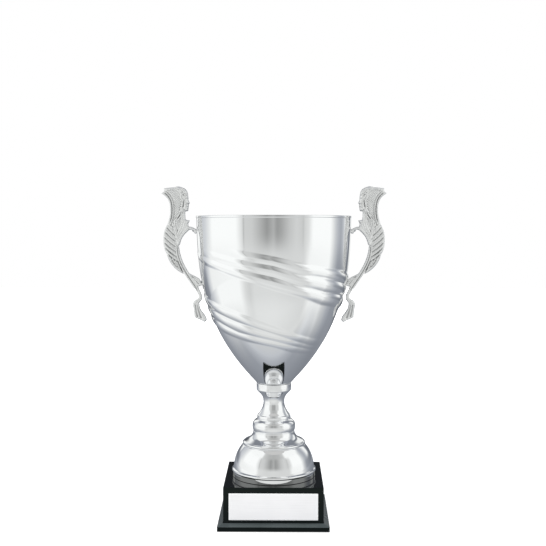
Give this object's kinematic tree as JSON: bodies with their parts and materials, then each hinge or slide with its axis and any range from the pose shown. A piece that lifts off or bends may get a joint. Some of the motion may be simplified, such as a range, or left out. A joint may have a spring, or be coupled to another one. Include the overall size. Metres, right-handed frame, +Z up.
{
  "type": "cup trophy",
  "caption": "Tall silver cup trophy: deep bowl with pressed swirl ribs, figural side handles, turned stem and bell foot, on a stepped black base with a blank plate.",
  "frame": {"origin": "middle of the felt pad's underside, where the trophy stands", "axes": "+Z up the axis of the bowl and stem, +X to the right-hand handle, -Y out of the front face with the engraving plate"},
  "size_m": [0.262, 0.181, 0.3865],
  "materials": {
    "polished_silver_plate": "mirror-polished silver plate",
    "cast_silver_plate": "cast, silver-plated and tumbled bright, darker in the recesses",
    "zinc_steel": "zinc-plated",
    "satin_aluminium": "satin, blank, with a bright border",
    "black_lacquered_wood": "high-gloss black lacquer",
    "felt": "black adhesive felt",
    "foam_tape": "double-sided foam tape"
  },
  "bodies": {
    "root": {"base_felt_pad": "felt", "base_plinth": "black_lacquered_wood", "base_block": "black_lacquered_wood", "plinth_screw_1": "zinc_steel", "plinth_screw_2": "zinc_steel", "plinth_screw_3": "zinc_steel", "plinth_screw_4": "zinc_steel", "plate_tape": "foam_tape", "engraving_plate": "satin_aluminium", "foot_bell": "polished_silver_plate", "knop": "polished_silver_plate", "stem": "polished_silver_plate", "bowl_collar": "polished_silver_plate", "tie_rod": "zinc_steel", "base_washer": "zinc_steel", "base_nut": "zinc_steel", "bowl_washer": "zinc_steel", "bowl_nut": "zinc_steel", "bowl": "polished_silver_plate", "handle_right": "cast_silver_plate", "handle_left": "cast_silver_plate", "handle_screw_right_upper": "zinc_steel", "handle_washer_right_upper": "zinc_steel", "handle_screw_right_lower": "zinc_steel", "handle_washer_right_lower": "zinc_steel", "handle_screw_left_upper": "zinc_steel", "handle_washer_left_upper": "zinc_steel", "handle_screw_left_lower": "zinc_steel", "handle_washer_left_lower": "zinc_steel"}
  },
  "joints": []
}
